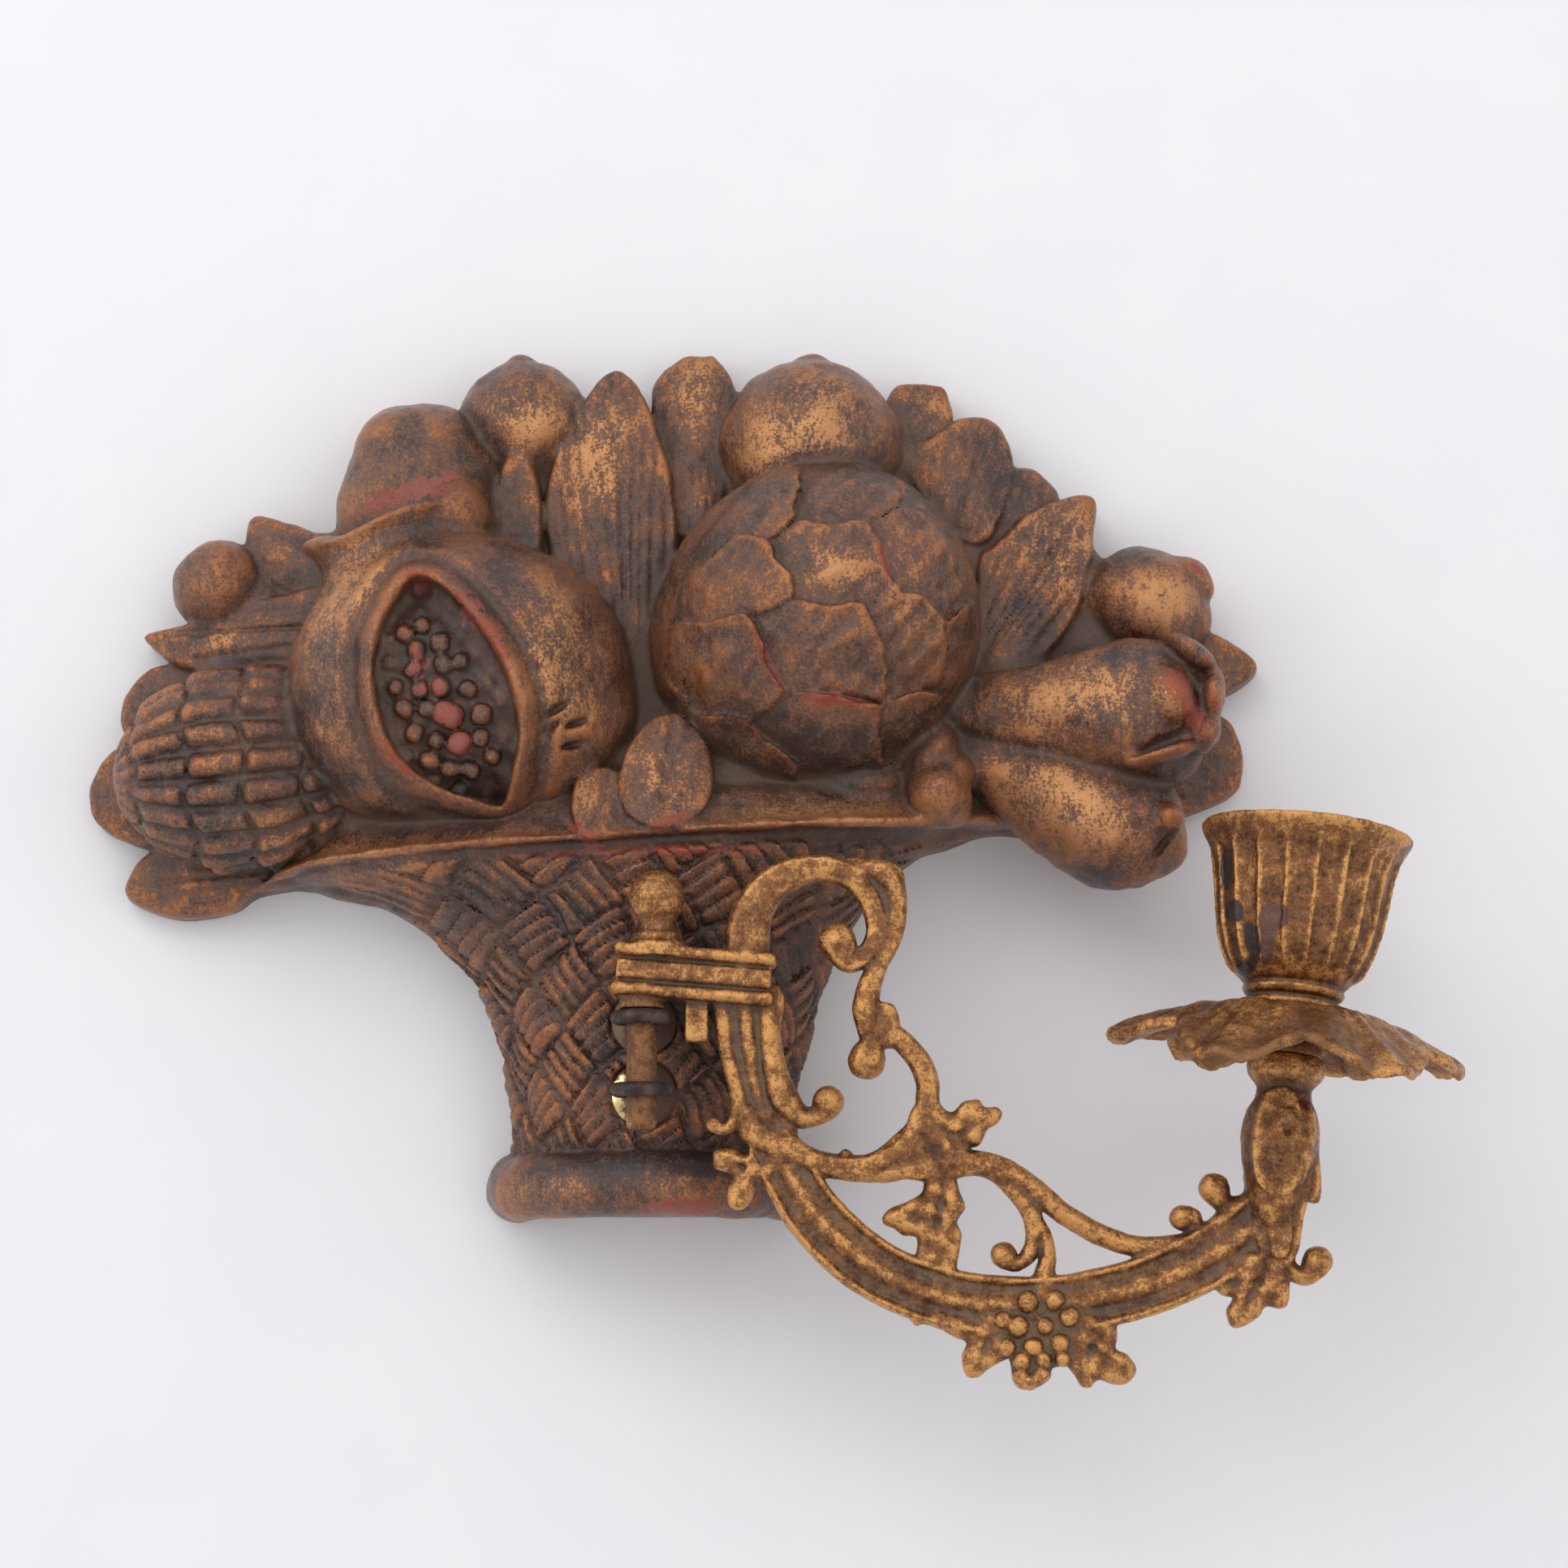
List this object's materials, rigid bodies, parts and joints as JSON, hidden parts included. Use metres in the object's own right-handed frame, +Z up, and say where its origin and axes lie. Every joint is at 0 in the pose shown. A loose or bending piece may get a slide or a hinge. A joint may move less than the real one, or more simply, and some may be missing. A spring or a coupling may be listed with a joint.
{
  "type": "wall sconce candle holder",
  "caption": "Carved, gilded fruit-basket wall plaque with a scrolled cast arm that swings on a peg and carries a leafy drip pan and a fluted cup for one candle.",
  "frame": {"origin": "centre of the round entry of the keyhole hanger, on the flat back", "axes": "+Z up, +Y into the wall, the carved front faces -Y, the arm reaches towards +X at rest"},
  "size_m": [0.296, 0.0859, 0.2287],
  "materials": {
    "giltwood": "carved wood, dark brown with rubbed gold leaf over red bole",
    "bronzed_iron": "cast iron with worn bronze-gold paint",
    "dark_wire": "tarnished dark wire",
    "brass": "tarnished, bright at one edge",
    "steel": "dull plated steel"
  },
  "bodies": {
    "plaque": {"relief_plaque": "giltwood", "upper_screw_eye": "dark_wire", "lower_screw_eye": "dark_wire", "upper_rosette": "brass", "lower_rosette": "brass", "hanger_plate": "steel", "hanger_screws": "steel"},
    "arm": {"swing_arm": "bronzed_iron", "drip_pan": "bronzed_iron", "candle_cup": "bronzed_iron", "cup_screw": "steel"}
  },
  "joints": [
    {"name": "arm_swing", "type": "hinge", "parent": "plaque", "child": "arm", "pos_m": [0, -0.051, -0.104], "axis": [0, 0, 1], "range_deg": [-185, 5]}
  ]
}
